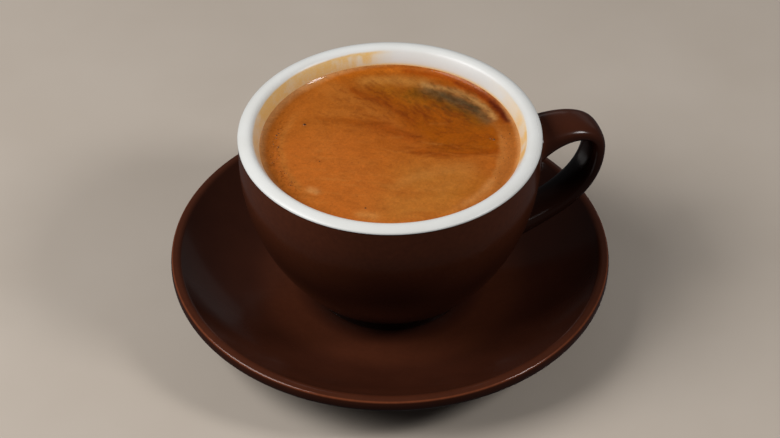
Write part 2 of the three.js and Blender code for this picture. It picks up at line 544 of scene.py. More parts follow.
def saucer_profile():
    """Foot ring, underside, lip, dish and seat. Dish and underside share a centre, and the lip joins them."""
    run = LIP_RADIUS - SEAT_RADIUS
    rise = LIP_HEIGHT - SEAT_HEIGHT
    dish = (run * run + rise * rise - LIP_SIZE * LIP_SIZE) / (2 * (rise + LIP_SIZE))
    centre = SEAT_HEIGHT + dish
    under = dish + SAUCER_WALL
    down = -math.pi / 2
    dish_end = down + math.asin(run / (dish + LIP_SIZE))
    foot_start = down + math.asin((SAUCER_FOOT_OUTER - SEAT_RADIUS) / under)
    recess = SEAT_HEIGHT - SAUCER_WALL
    r = SAUCER_FOOT_ROUNDING
    lip = arc(LIP_RADIUS, LIP_HEIGHT, LIP_SIZE, dish_end, dish_end + math.pi, steps=64)
    parts = [
        [[0, recess]],
        arc(SAUCER_FOOT_INNER - r, recess - r, r, math.pi / 2, 0, steps=5),
        arc(SAUCER_FOOT_INNER + r, r, r, math.pi, 1.5 * math.pi, steps=5),
        arc(SAUCER_FOOT_OUTER - r, r, r, 1.5 * math.pi, 2 * math.pi, steps=5),
        arc(SEAT_RADIUS, centre, under, foot_start, dish_end, steps=28),
        drawn_out(lip[1:]),
        arc(SEAT_RADIUS, centre, dish, dish_end, down, steps=44)[1:],
        [[SEAT_RADIUS * share, SEAT_HEIGHT] for share in SEAT_RINGS],
    ]
    return np.concatenate(parts)


def lip_turn(radius, height):
    """The angle of a place about the middle of the lip, in degrees."""
    return np.degrees(np.arctan2(height - LIP_HEIGHT, radius - LIP_RADIUS))


def drawn_out(lip):
    """The lip's arc drawn out a little to a softly pointed crest and a lower outer edge."""
    middle = np.array([LIP_RADIUS, LIP_HEIGHT])
    at = lip_turn(lip[:, 0], lip[:, 1])
    rise = sum(share * bell(at - turn, spread) for turn, share, spread in LIP_EDGES)
    return middle + (lip - middle) * (1 + rise)[:, None]


def make_saucer(glaze):
    """The saucer, with thin glaze and a painted highlight along the lip's crest, painted light in a ring
    round the cup's foot, painted shade under the lip and a painted shadow in the seat.
    """
    saucer = new_mesh("saucer_body", *turned(saucer_profile(), TURN_SEGMENTS))
    points = points_of(saucer)
    radius = from_axis(points)
    height = points[:, 2]
    from_crest = lip_turn(radius, height) - LIP_CREST_TURN
    on_lip = smooth_step(LIP_START - LIP_BLEND, LIP_START + LIP_BLEND, radius)
    # Thin glaze along the crest, narrow enough to stand as a painted highlight
    crest_thin_glaze_and_highlight = bell(from_crest, LIP_LINE_SPREAD)
    inner_side = LIP_INSIDE_THIN * between(LIP_INSIDE, from_crest)
    # Painted light in a ring round the cup's foot
    painted_light_round_foot = ROUND_CUP_FOOT_PAINTED_LIGHT * between(ROUND_CUP_FOOT, radius) * (height > SEAT_HEIGHT)
    give_values(saucer, "thin_glaze_and_painted_light", np.maximum(crest_thin_glaze_and_highlight, inner_side) * on_lip + painted_light_round_foot)
    # Painted shade on the lip's outer side
    under_lip_shade = change(LIP_OUTSIDE_PAINTED_SHADE, from_crest) * on_lip
    # Painted shadow in the seat round the cup's foot, with the painted shade under the lip
    give_values(saucer, "painted_shade", np.maximum(under_lip_shade, change(SEAT_PAINTED_SHADOW, radius)))
    give_values(saucer, "bare", height < SAUCER_BARE_HEIGHT)
    dress(saucer, glaze, "brown_glaze", "saucer")


# Cup

# Where its glaze runs thin and light is painted on, and where shade is painted on, by height, and the
# distances from the wall over which the handle's own rules take over
# Lighter towards the rim: thinner glaze, and painted light in place of the floor's reflection
BODY_THIN_GLAZE_AND_PAINTED_LIGHT = (0, 0.32, 34, 70)
# Painted shade: darker down the body and on the foot
BODY_PAINTED_SHADE = (0, 0.5, 46, 22)
CUP_FOOT_PAINTED_SHADE = (0, 0.5, 14, CUP_FOOT_TOP)
# Painted sheen on the handle's top
HANDLE_PAINTED_SHEEN = (0, 0.06, 56, 66)
# Painted shade on the handle's lower part
HANDLE_PAINTED_SHADE = (0, 0.7, 62, 46)
HANDLE_TAKEOVER = (0.5, 4)
CUP_BARE_HEIGHT = 0.2


def body_radius(height):
    """Upright under the rim, drawn in like the small end of an egg, and a little more above the foot."""
    drop = np.maximum(SHOULDER_HEIGHT - height, 0) / BODY_DEPTH
    waist = np.maximum(WAIST_TOP - height, 0) / (WAIST_TOP - CUP_FOOT_TOP)
    return CUP_RADIUS * (1 - drop**BODY_BULGE) ** (1 / BODY_TAPER) - WAIST_DRAW * waist**2


def hollow_radius(height):
    """The hollow flares towards the rim and is drawn in below."""
    height = np.asarray(height, float)
    part = np.maximum(height - HOLLOW_TOP, 0) / (RIM_JOIN_HEIGHT - HOLLOW_TOP)
    flared = HOLLOW_RADIUS + (RIM_JOIN_RADIUS - HOLLOW_RADIUS) * part**HOLLOW_FLARE
    drop = np.maximum(HOLLOW_TOP - height, 0) / HOLLOW_DEPTH
    return flared * (1 - drop**BODY_BULGE) ** (1 / BODY_TAPER)


def wall(radius_at, start, end, steps):
    """Points of a profile between two heights, with the radius that a function gives."""
    heights = np.linspace(start, end, steps + 1)
    return np.stack([radius_at(heights), heights], 1)


def rim_profile(start):
    """The rim, from an angle on its outer edge over its dome to the hollow."""
    up = math.pi / 2
    dome_base = RIM_CREST_HEIGHT - RIM_DOME
    rounding_base = RIM_CREST_HEIGHT - RIM_ROUNDING
    parts = [
        arc(CUP_RADIUS - RIM_EDGE, RIM_EDGE_HEIGHT, RIM_EDGE, start, RIM_LEAN, steps=8),
        arc(RIM_CREST_RADIUS, dome_base, RIM_DOME, RIM_LEAN, up, steps=14)[1:],
        arc(RIM_CREST_RADIUS, rounding_base, RIM_ROUNDING, up, RIM_JOIN_ANGLE, steps=14)[1:],
    ]
    return np.concatenate(parts)


def cup_profile():
    """Foot ring, body, rim and hollow."""
    base = body_radius(CUP_FOOT_TOP) - CUP_FOOT_UNDERCUT
    inner = base - CUP_FOOT_WIDTH
    recess = CUP_BASE + CUP_FOOT_RECESS
    r = CUP_FOOT_ROUNDING
    undercut = math.atan2(CUP_FOOT_UNDERCUT, CUP_FOOT_TOP - CUP_BASE)
    parts = [
        [[0, recess]],
        [[inner, recess]],
        arc(inner + r, CUP_BASE + r, r, math.pi, 1.5 * math.pi, steps=4),
        arc(base - r, CUP_BASE + r, r, -math.pi / 2, -undercut, steps=4),
        wall(body_radius, CUP_FOOT_TOP, SHOULDER_HEIGHT, steps=64),
        wall(body_radius, SHOULDER_HEIGHT, RIM_EDGE_HEIGHT, steps=4)[1:-1],
        rim_profile(0),
        wall(hollow_radius, RIM_JOIN_HEIGHT, HOLLOW_TOP, steps=16)[1:],
        wall(hollow_radius, HOLLOW_TOP, HOLLOW_FLOOR, steps=20)[1:],
        [[0, HOLLOW_FLOOR]],
    ]
    return np.concatenate(parts)


def wall_slope(height):
    step = 0.01
    return (body_radius(height + step) - body_radius(height - step)) / (2 * step)


def wall_gap(points):
    """How far points are from the cup's outer wall, negative inside it."""
    beyond = from_axis(points) - body_radius(points[..., 2])
    return beyond / np.sqrt(1 + wall_slope(points[..., 2]) ** 2)


def wall_normal(points):
    """The outward direction of the cup's outer wall beside each point."""
    radius = from_axis(points)
    upright = -wall_slope(points[..., 2])
    return unit(np.stack([points[..., 0] / radius, points[..., 1] / radius, upright], -1))


def bezier(start, first_pull, last_pull, end):
    t = np.linspace(0, 1, num=200)[:, None]
    ends = (1 - t) ** 3 * start + t**3 * end
    pulls = 3 * (1 - t) ** 2 * t * first_pull + 3 * (1 - t) * t**2 * last_pull
    return ends + pulls


def along(root, slope, distance):
    return root + distance * np.array([math.cos(slope), math.sin(slope)])


def signed_power(value, power):
    return np.sign(value) * np.abs(value) ** power


class Handle:
    """The handle's middle line in the plane y = 0, and the skin round it."""

    def __init__(self):
        arm_end = along(LOWER_ROOT, LOWER_SLOPE, LOWER_ARM_LENGTH)
        upper_pull = along(UPPER_ROOT, UPPER_SLOPE, UPPER_PULL)
        lower_pull = along(LOWER_ROOT, LOWER_SLOPE, LOWER_ARM_LENGTH + LOWER_PULL)
        over = bezier(UPPER_ROOT, upper_pull, HANDLE_OUTERMOST + [0, TOP_PULL], HANDLE_OUTERMOST)
        under = bezier(HANDLE_OUTERMOST, HANDLE_OUTERMOST - [0, SIDE_PULL], lower_pull, arm_end)
        arm = np.linspace(arm_end, LOWER_ROOT, num=50)
        self.line = np.concatenate([over, under[1:], arm[1:]])
        steps = np.linalg.norm(np.diff(self.line, axis=0), axis=1)
        self.lengths = np.concatenate([[0], np.cumsum(steps)])
        self.total = self.lengths[-1]
        self.heading = np.gradient(self.line, self.lengths, axis=0)

    def at(self, length):
        """The middle line's place and unit heading at a length along it, each as x and z."""
        centre = [np.interp(length, self.lengths, self.line[:, i]) for i in (0, 1)]
        heading = [np.interp(length, self.lengths, self.heading[:, i]) for i in (0, 1)]
        return centre, heading / np.hypot(*heading)

    def section(self, length):
        """Half the handle's width and thickness, both larger near the two roots."""
        upper = np.maximum(1 - length / ROOT_LENGTH, 0) ** ROOT_TAPER
        lower = np.maximum(1 - (self.total - length) / ROOT_LENGTH, 0) ** ROOT_TAPER
        width = HANDLE_WIDTH + ROOT_WIDENING * (upper + lower)
        thickness = HANDLE_THICKNESS + UPPER_THICKENING * upper + LOWER_THICKENING * lower
        return width / 2, thickness / 2

    def skin(self, length, angle):
        """Points on the skin and their outward normals across the middle line."""
        (x, z), heading = self.at(length)
        width, thickness = self.section(length)
        sideways = signed_power(np.cos(angle), 2 / HANDLE_SQUARENESS)
        outward = signed_power(np.sin(angle), 2 / HANDLE_SQUARENESS)
        out_x = -heading[1]
        out_z = heading[0]
        rise = thickness * outward
        points = np.stack([x + out_x * rise, width * sideways, z + out_z * rise], -1)
        normal_y = signed_power(sideways, HANDLE_SQUARENESS - 1) / width
        normal_out = signed_power(outward, HANDLE_SQUARENESS - 1) / thickness
        normals = np.stack([out_x * normal_out, normal_y, out_z * normal_out], -1)
        return points, unit(normals)

    def root(self, angles, fillet, from_start):
        """Rings of a fillet from inside the wall out to the free handle, and the lengths where it ends."""
        lengths = np.linspace(0, FILLET_SEARCH, num=400)
        if not from_start:
            lengths = self.total - lengths
        gaps = wall_gap(self.skin(lengths[:, None], angles[None, :])[0])
        rings = []
        for turn in np.linspace(math.pi / 2, 0, num=13):
            sunk = FILLET_EDGE_SUNK * (turn / (math.pi / 2)) ** 2
            gap = fillet * (1 - math.sin(turn)) - sunk
            at = np.array([np.interp(gap, gaps[:, i], lengths) for i in range(len(angles))])
            points, normals = self.skin(at, angles)
            facing = wall_normal(points)
            aside = unit(normals - (normals * facing).sum(1, keepdims=True) * facing)
            points = points + aside * fillet * (1 - math.cos(turn))
            points = points + wall_normal(points) * (gap - wall_gap(points))[:, None]
            rings.append(points)
        buried = rings[0] - wall_normal(rings[0]) * FILLET_END_SUNK
        return [buried, *rings], at

    def rings(self):
        angles = np.linspace(0, 2 * math.pi, HANDLE_SIDES, endpoint=False)
        upper, start = self.root(angles, UPPER_FILLET, True)
        lower, end = self.root(angles, LOWER_FILLET, False)
        free = [self.skin(lerp(start, end, part), angles)[0] for part in np.linspace(0, 1, HANDLE_RINGS)]
        return np.array(upper + free[1:-1] + lower[::-1])


def handle_skin():
    """Points and faces of the handle, its two ends buried in the wall."""
    rings = Handle().rings()[:, ::-1]
    return capped(rings, rings[0].mean(0), rings[-1].mean(0))


def join(piece, other):
    """Replaces a piece's mesh by its union with another piece, which is removed."""
    union = piece.modifiers.new("union", "BOOLEAN")
    union.operation = "UNION"
    union.solver = "MANIFOLD"
    union.object = other
    shown = piece.evaluated_get(bpy.context.evaluated_depsgraph_get())
    piece.data = bpy.data.meshes.new_from_object(shown)
    piece.data.shade_smooth()
    piece.modifiers.clear()
    bpy.data.objects.remove(other)


def make_cup(glaze):
    cup = new_mesh("cup_body", *turned(cup_profile(), TURN_SEGMENTS))
    join(cup, new_mesh("handle", *handle_skin()))
    points = points_of(cup)
    height = points[:, 2]
    on_handle = smooth_step(*HANDLE_TAKEOVER, wall_gap(points)) * (points[:, 0] > 0)
    # Painted light: lighter towards the rim with the thin glaze, and a painted sheen on the handle's top
    give_values(cup, "thin_glaze_and_painted_light", lerp(change(BODY_THIN_GLAZE_AND_PAINTED_LIGHT, height), change(HANDLE_PAINTED_SHEEN, height), on_handle))
    # Painted shade down the body, on the foot and on the handle's lower part
    painted_shade = change(BODY_PAINTED_SHADE, height) + change(CUP_FOOT_PAINTED_SHADE, height)
    give_values(cup, "painted_shade", lerp(painted_shade, change(HANDLE_PAINTED_SHADE, height), on_handle))
    give_values(cup, "bare", height < CUP_BASE + CUP_BARE_HEIGHT)
    dress(cup, glaze, "brown_glaze", "cup")


# White glaze inside the cup and over its rim

# Film of dried crema on it: how its drips and patches are stretched along the height, its top edge, and
# the tide line at the drink
WALL_PER_DEGREE = 0.8
DRIP_STRETCH = 0.25
PATCH_STRETCH = 1.5
FILM_SEAM = -120
FILM_TOP = (72.9, 72.4)
FILM_TOP_STRAY = 0.2
TIDE_AMOUNT = 0.9
TIDE_HEIGHT = 0.45


def lining_profile(proud):
    """The skin of the hollow from its floor up over the rim, standing this far off the cup."""
    parts = [
        [[0, HOLLOW_FLOOR]],
        wall(hollow_radius, HOLLOW_FLOOR, HOLLOW_TOP, steps=20),
        wall(hollow_radius, HOLLOW_TOP, RIM_JOIN_HEIGHT, steps=40)[1:],
        rim_profile(LINING_EDGE)[-2::-1],
    ]
    skin = np.concatenate(parts)
    heading = unit(np.gradient(skin, axis=0))
    off = np.stack([-heading[:, 1], heading[:, 0]], 1)
    off[0] = [0, 1]
    return skin + proud * off


def left_film(around, height, drips, patches):
    """Thick film along the left, broken by gaps where it thins out at the back."""
    here = between((86, 100, 188, 214), around)
    between_drips = smooth_step(-0.25, 0.35, drips) * smooth_step(72.3, 71.4, height)
    gaps = change((0, 0.45, 126, 108), around) * between_drips
    depth = change((0.95, 0.76, 152, 174), around) + 0.15 * drips + 0.22 * patches
    return here * depth * (1 - gaps)


def right_film(around, patches):
    """Patchy film along the right, thinner towards the back."""
    here = between((-26, -12, 34, 56), around)
    depth = change((0.55, 1.05, -0.5, 0.5), patches)
    thinning = smooth_step(46, 4, around + 12 * patches)
    return here * depth * thinning


def film_amount(points):
    """How much dried crema lies on each point of the wall, from 0 to 1, with a tide line at the drink."""
    around = angle_round(*to_view(points), seam=FILM_SEAM)
    height = points[:, 2]
    drips = cloud(around * WALL_PER_DEGREE, height * DRIP_STRETCH, size=3.2, seed=11)
    patches = cloud(around * WALL_PER_DEGREE, height * PATCH_STRETCH, size=5, seed=23)
    film = left_film(around, height, drips, patches) + right_film(around, patches)
    top = smooth_step(*FILM_TOP, height + FILM_TOP_STRAY * patches)
    tide = TIDE_AMOUNT * np.exp(-np.maximum(height - COFFEE_LEVEL, 0) / TIDE_HEIGHT)
    inside = from_axis(points) < RIM_CREST_RADIUS
    return np.clip(np.maximum(film * top, tide) * inside, 0, 1)


def make_lining(glaze):
    """A thin closed skin that lies in the hollow and over the rim."""
    profile = np.concatenate([lining_profile(-LINING_SUNK), lining_profile(LINING_PROUD)[::-1]])
    points, faces = turned(profile, LINING_SEGMENTS)
    piece = new_mesh("cup_lining", points, faces)
    give_values(piece, "film", film_amount(points))
    dress(piece, glaze, "white_glaze")


# Colours of the crema

# Light that falls on the crema, by which display colours are divided to give the foam's own colours
CREMA_LIGHT = 0.95
CREMA_GLOSS = 0.005
CREMA_DARKEST = 0.001

# How far its marks and its broad fields stray: a slow sway and a fine fray
MARK_STRAY = {"sway": 0.7, "octaves": 3, "fray": 0.3, "fray_size": 0.9}
FIELD_STRAY = {"sway": 1.6, "octaves": 4, "fray": 0.35, "fray_size": 1.1}
SWAY_SIZE = 9

# Slant of the foam's flow, from the front to the back, and how far each pattern shades the colours
FLOW_SLANT = (0.1, 1.0, -6, 26)
SHADES = {"streaks": 0.07, "broad": 0.05, "mottle": 0.08, "grain": 0.09}

# Broad fields of foam: display colour, strength, direction in u and v, limits along it, and how far the
# broad clouds stir them
FOAM_FIELDS = (
    ((176, 96, 37), 1.0, (1, 0.6), (4, -20), 6),
    ((158, 88, 31), 0.7, (-0.3, 1), (4, 22), 3),
)

# Darker foam at the right: its strength, its direction, limits and stir as above, and its near edge by its
# lowest place, the u of that place, how it curves up to each side, and how it blends
BURNT_STRENGTH = 0.95
BURNT_FIELD = ((0.78, 0.62), (4, 15), 3)
BURNT_LOW = -8
BURNT_MIDDLE = 18
BURNT_CURVE = 0.011
BURNT_BLEND = (-1.4, 1.6)

# Paths that two long marks follow: the pale far side of the thin foam, and the crescent behind it
FAR_SIDE = ((12, 32.2), (16.5, 30.8), (23.4, 28), (29.6, 23.2), (33.6, 18.2), (35.6, 14.2))
CRESCENT = ((6, 40), (18, 36.6), (24.8, 32.8), (30.2, 27.9), (34.9, 22.2), (40.4, 12.4))

# Marks on the crema, laid one over another: display colour, strength, half width and path in u and v
CREMA_MARKS = (
    # Paler, yellower foam to the front right, and faint swirls in it
    ((172, 110, 46), 0.60, 9.0, ((10, -17), (22, -18), (17, -30), (4, -33))),
    ((178, 114, 54), 0.35, 2.6, ((4, -20), (14, -14.5), (27, -13))),
    ((156, 90, 28), 0.40, 2.2, ((20, -27), (26, -24.5), (31, -19))),
    # Dark streaks across the middle, and lighter foam beside them
    ((146, 68, 8), 0.60, 1.6, ((9, -4), (19, -6.2), (28, -5.6), (36, -3.6))),
    ((138, 66, 18), 0.45, 1.4, ((-24, 14), (-10, 10.5), (0, 7), (10, 3))),
    ((150, 70, 22), 0.50, 3.2, ((-4, 9), (2, 6), (7, 4))),
    ((134, 62, 10), 0.60, 1.7, ((-13, 29), (-5, 24.5), (1, 18), (7, 13))),
    ((170, 100, 40), 0.45, 2.0, ((-22, 16), (-15, 16.5), (-9, 14.5))),
    # Tan and olive foam behind, with an orange band along the back edge
    ((172, 112, 50), 0.85, 3.2, ((-9, 34), (0, 34.6), (11, 33.2))),
    ((154, 92, 26), 0.60, 3.4, ((-3, 29.6), (4, 27.5), (10, 22))),
    ((180, 98, 30), 0.85, 2.4, ((-27, 34.5), (-10, 40.4), (6, 41), (19, 37.4), (29, 31), (36, 23))),
    # Thin foam that the dark drink shows through, pale along its far side
    ((122, 76, 18), 0.65, 3.6, ((9, 27.6), (15, 25.5), (23, 19.5), (30, 12))),
    ((104, 80, 50), 0.80, 2.6, ((13.5, 29), (21.3, 25), (26.8, 20.6), (30.7, 16.4), (33, 13))),
    ((82, 66, 44), 0.75, 1.8, ((19, 26), (24.4, 22.6), (29, 18.2))),
    ((174, 126, 72), 0.82, 1.5, FAR_SIDE),
    # Dark crescent behind it, deepest at its right end
    ((148, 68, 12), 0.88, 1.8, CRESCENT),
    ((118, 48, 5), 0.75, 1.1, ((23, 33.2), (30.2, 27.7), (34.9, 22.2), (38.2, 16.8), (40.4, 12.4))),
    ((88, 32, 4), 0.85, 1.25, ((34.9, 22.2), (38.2, 16.8), (40.2, 12.8))),
    # Small pale spots, the one at the front left a painted highlight, and a pale edge at the front right
    ((190, 132, 76), 0.50, 1.7, ((34, -20), (30, -26), (25, -31))),
    ((206, 146, 84), 0.65, 1.4, ((-26, -24.6), (-24.6, -25.2))),
    ((190, 126, 64), 0.55, 2.0, ((-9, -36.4), (-5, -37.2))),
)
MARK_STREAKS = 0.3
MARK_MOTTLE = 0.6

# Flecks scattered over the crema: display colour, strength, count, middle and scatter in u and v, heading
# in degrees, and length
CREMA_FLECKS = (
    ((112, 48, 2), 0.42, 110, (11, 17), (8, 5.5), -50, 3.0),
    ((114, 52, 4), 0.36, 80, (24, 9), (8, 5), -28, 3.5),
    ((120, 54, 2), 0.40, 70, (23, -3.5), (10, 2.6), -3, 5.0),
    ((114, 50, 6), 0.45, 70, (-5, 26), (6, 3.5), -38, 3.0),
    ((126, 60, 12), 0.35, 70, (-8, 10), (12, 3.5), -16, 4.0),
    ((78, 48, 14), 0.38, 100, (15, 27), (6, 2.6), -58, 1.8),
    ((66, 48, 26), 0.40, 70, (25, 20), (5, 3), -50, 2.2),
    ((186, 118, 54), 0.22, 120, (0, -16), (24, 12), -8, 6.0),
    ((134, 70, 20), 0.22, 120, (-8, -8), (22, 16), -10, 3.0),
)
FLECK_WIDTH = 0.34
FLECK_TURN = 12
FLECK_LENGTHS = (0.2, 0.7)
FLECK_WIDTHS = (0.7, 1.8)
FLECK_STRENGTHS = (0.3, 1)
FLECK_MARGIN = 1


def along_stroke(u, v, stroke, width):
    """A soft brush stroke along a few points: 1 on the line, fading over its width."""
    nearest = np.full(np.shape(u), np.inf)
    for (u0, v0), (u1, v1) in zip(stroke, stroke[1:]):
        run = (u1 - u0) ** 2 + (v1 - v0) ** 2
        part = np.clip(((u - u0) * (u1 - u0) + (v - v0) * (v1 - v0)) / run, 0, 1)
        gap = np.hypot(u - lerp(u0, u1, part), v - lerp(v0, v1, part))
        nearest = np.minimum(nearest, gap)
    return bell(nearest, width)


def strayed(u, v, sway, octaves, fray, fray_size):
    """Places pushed aside by a slow sway and a fine fray, so that edges drawn there come out ragged."""

    def push(sway_seed, fray_seed):
        return sway * cloud(u, v, SWAY_SIZE, sway_seed, octaves) + fray * noise(u, v, fray_size, fray_seed)

    return u + push(31, 36), v + push(41, 46)


class Foam:
    """Places on the crema and the patterns that its colours are drawn with."""

    def __init__(self, u, v, radius):
        self.u = u
        self.v = v
        self.radius = radius
        self.mark_u, self.mark_v = strayed(u, v, **MARK_STRAY)
        self.field_u, self.field_v = strayed(u, v, **FIELD_STRAY)
        self.flow = self.field_v + self.field_u * change(FLOW_SLANT, v)
        self.streaks = self.drawn_along(stretch=4, size=1.6, seed=51)
        self.broad = self.drawn_along(stretch=3, size=9, seed=61)
        self.pale = self.drawn_along(stretch=2, size=11, seed=91)
        self.mottle = cloud(u, v, size=3, seed=71)
        self.specks = noise(u, v, size=0.62, seed=101)
        self.grain = noise(u, v, size=0.7, seed=77)

    def drawn_along(self, stretch, size, seed):
        """Clouds that are drawn out along the flow."""
        return cloud(self.field_u / stretch, self.flow, size, seed)

    def field(self, direction, limits, stir):
        """From 0 to 1 across the foam in one direction, stirred by the broad clouds."""
        distance = direction[0] * self.field_u + direction[1] * self.field_v
        return smooth_step(*limits, distance + stir * self.broad)

    def burnt(self):
        """How far the foam is darkened, at the right and behind a curved near edge."""
        behind = self.field_v - BURNT_LOW - BURNT_CURVE * (self.field_u - BURNT_MIDDLE) ** 2
        return self.field(*BURNT_FIELD) * smooth_step(*BURNT_BLEND, behind + self.broad)

    def shade(self):
        """How much lighter or darker than its colour each place is."""
        return 1 + sum(amount * getattr(self, pattern) for pattern, amount in SHADES.items())


def paint(colours, colour, amount):
    """Lays a display colour over others by an amount from 0 to 1."""
    own = np.maximum(linear(*colour) - CREMA_GLOSS, CREMA_DARKEST) / CREMA_LIGHT
    return lerp(colours, own, np.clip(amount, 0, 1)[:, None])


def fields(foam):
    """Colours and amounts of the broad fields and of the streaks, which are stronger in the darker foam."""
    yield (165, 88, 30), np.ones(len(foam.u))
    for colour, strength, *across in FOAM_FIELDS:
        yield colour, strength * foam.field(*across)
    yield (170, 102, 42), change((0, 0.5, 0.1, 0.9), foam.pale)
    burnt = foam.burnt()
    yield (150, 77, 11), BURNT_STRENGTH * burnt
    streaked = smooth_step(0.2, 0.9, foam.streaks)
    yield (124, 58, 10), streaked * lerp(0.12, 0.37, burnt)


def marks(foam):
    """Colours and amounts of the marks, uneven along the streaks and mottled at their edges."""
    for colour, strength, width, path in CREMA_MARKS:
        near = along_stroke(foam.mark_u, foam.mark_v, path, width)
        streaked = near * (1 + MARK_STREAKS * foam.streaks)
        mottled = MARK_MOTTLE * near * (1 - near) * foam.mottle
        yield colour, strength * (streaked + mottled)


def paint_flecks(colours, u, v):
    """Short soft strokes that lie along the flow of the foam."""
    draw = np.random.default_rng(17)
    for colour, strength, count, middle, scatter, heading, length in CREMA_FLECKS:
        for _ in range(count):
            at = middle + np.array(scatter) * draw.normal(size=2)
            turn = math.radians(heading + draw.normal(0, FLECK_TURN))
            half = length * draw.uniform(*FLECK_LENGTHS) * np.array([math.cos(turn), math.sin(turn)])
            width = FLECK_WIDTH * draw.uniform(*FLECK_WIDTHS)
            fleck_strength = strength * draw.uniform(*FLECK_STRENGTHS)
            near = np.hypot(u - at[0], v - at[1]) < length + FLECK_MARGIN
            amount = along_stroke(u[near], v[near], (at - half, at + half), width)
            colours[near] = paint(colours[near], colour, fleck_strength * amount)
    return colours


def right_edge(foam):
    """A paler band along the wall at the right, with a light line where it begins."""
    around = angle_round(foam.u, foam.v)
    here = between((-72, -44, 0, 22), around)
    band_start = change((37.7, 38.3, -14, -42), around) + foam.mottle
    band = change((0, 0.75, -2, 1.4), foam.radius - band_start)
    line = 0.35 * bell(foam.radius - band_start, width=0.9)
    yield (182, 110, 50), here * band
    yield (186, 122, 62), here * line


def left_edge(foam):
    """A light line and a band along the wall at the left, with dark specks on them."""
    here = between((140, 168, 212, 238), angle_round(foam.u, foam.v, seam=0))
    line_radius = 36.4
    ragged = foam.radius + foam.mottle
    line = 0.6 * bell(ragged - line_radius, width=1.3)
    band = change((0, 0.6, 38, 41), ragged)
    specks = smooth_step(0.3, 0.75, foam.specks) * change((0, 0.4, 34, 38.5), foam.radius)
    yield (174, 106, 46), here * line
    yield (168, 94, 34), here * band
    yield (104, 54, 14), here * specks


def fade(foam):
    """Fades the foam into the film on the wall, later at the back, and earlier at the left as painted light
    on foam that lies in shade there.
    """
    around = angle_round(foam.u, foam.v, seam=0)
    later = 1.5 * between((14, 40, 84, 112), around)
    # Painted light: the fade starts earlier at the left, where the foam is in shade
    painted_light_left = between((112, 135, 206, 222), around)
    start = 42 + later - painted_light_left
    end = 44.3
    yield (212, 152, 92), 0.8 * smooth_step(start, end, foam.radius + 0.3 * foam.mottle)


def crema_colours(u, v, radius):
    """The crema's colour at each place: broad fields and marks, then flecks, then its edge."""
    foam = Foam(u, v, radius)
    colours = np.zeros((len(u), 3))
    for colour, amount in chain(fields(foam), marks(foam)):
        colours = paint(colours, colour, amount)
    colours = paint_flecks(colours, foam.mark_u, foam.mark_v)
    for colour, amount in chain(right_edge(foam), left_edge(foam), fade(foam)):
        colours = paint(colours, colour, amount)
    return colours * foam.shade()[:, None]


# Coffee

# Wet gloss where the drink climbs the wall: by its climb, and less away from the back
WET_CLIMB = (0, 0.7, 0.36, 0.5)
WET_ROUND = (0.25, 1, 55, 85)

# Larger bubbles: u, v and radius
BUBBLES = (
    (-29, 10, 0.6), (-38.3, 4.2, 0.35), (-37.6, 5.2, 0.25), (-37.5, -2, 0.35), (-38.4, 2.6, 0.22),
    (35, 2, 0.45), (34, 2.4, 0.3), (40.5, 5, 0.3), (41, -11, 0.4), (41.6, -9.4, 0.28),
    (40.6, -12.4, 0.3), (-8, -33.5, 0.35), (-23.5, -9.5, 0.25),
)

# Tiny bubbles near the wall: angles that they lie between and their count, then the ranges of their
# distance from the middle and of their radius
TINY_BUBBLES = ((168, 222, 70), (-30, 8, 24))
TINY_BUBBLE_PLACES = (37.5, 42.5)
TINY_BUBBLE_RADII = (0.08, 0.2)

# A bubble's rise above the foam and depth in it, as shares of its radius
BUBBLE_RISE = 0.6
BUBBLE_SUNK = 0.3


def disc_grid(cells):
    """A square grid drawn out to a round disc of radius 1, as points and faces, and its edge in order."""
    side = np.linspace(-1, 1, cells + 1)
    a, b = np.meshgrid(side, side)
    wide = np.abs(a) > np.abs(b)
    ring = np.where(wide, a, b)
    share = np.where(wide, b, a) / np.where(ring == 0, 1, ring)
    turn = np.where(wide, share * math.pi / 4, math.pi / 2 - share * math.pi / 4)
    flat = np.stack([ring * np.cos(turn), ring * np.sin(turn)], -1).reshape(-1, 2)
    index = np.arange((cells + 1) ** 2).reshape(cells + 1, cells + 1)
    faces = np.stack([index[:-1, :-1], index[:-1, 1:], index[1:, 1:], index[1:, :-1]], 2).reshape(-1, 4)
    edge = np.concatenate([index[0, :-1], index[:-1, -1], index[-1, :0:-1], index[:0:-1, 0]])
    return flat, faces.tolist(), edge


def coffee_radius(height):
    """The drink's radius at a height, a little into the wall."""
    return hollow_radius(height) + COFFEE_BITE


def coffee_top():
    """The drink's top as points, faces and its edge in order, and how far each point climbs, 0 to 1."""
    flat, faces, edge = disc_grid(CREMA_CELLS)
    from_middle = from_axis(flat)
    crowding = 1 + CREMA_CROWDING - CREMA_CROWDING * from_middle**CREMA_CROWDING_POWER
    top = np.zeros((len(flat), 3))
    top[:, :2] = flat * (coffee_radius(COFFEE_LEVEL) * crowding)[:, None]
    to_wall = coffee_radius(COFFEE_LEVEL) - COFFEE_BITE - from_axis(top)
    climb = np.minimum(np.exp(-to_wall / MENISCUS_REACH), 1)
    relief = FOAM_RELIEF * cloud(*to_view(top), size=6, seed=81)
    top[:, 2] = COFFEE_LEVEL + (relief - MENISCUS_RISE) * (1 - climb)
    return top, faces, edge, climb


def coffee_sides(edge_points):
    """Rings of points down the hollow, from just under the top's edge to the floor."""
    side_top = COFFEE_LEVEL - COFFEE_SIDE_DROP
    profile = wall(coffee_radius, side_top, HOLLOW_FLOOR, steps=COFFEE_SIDE_RINGS - 1)
    return rings_of(profile, np.arctan2(edge_points[:, 1], edge_points[:, 0]))


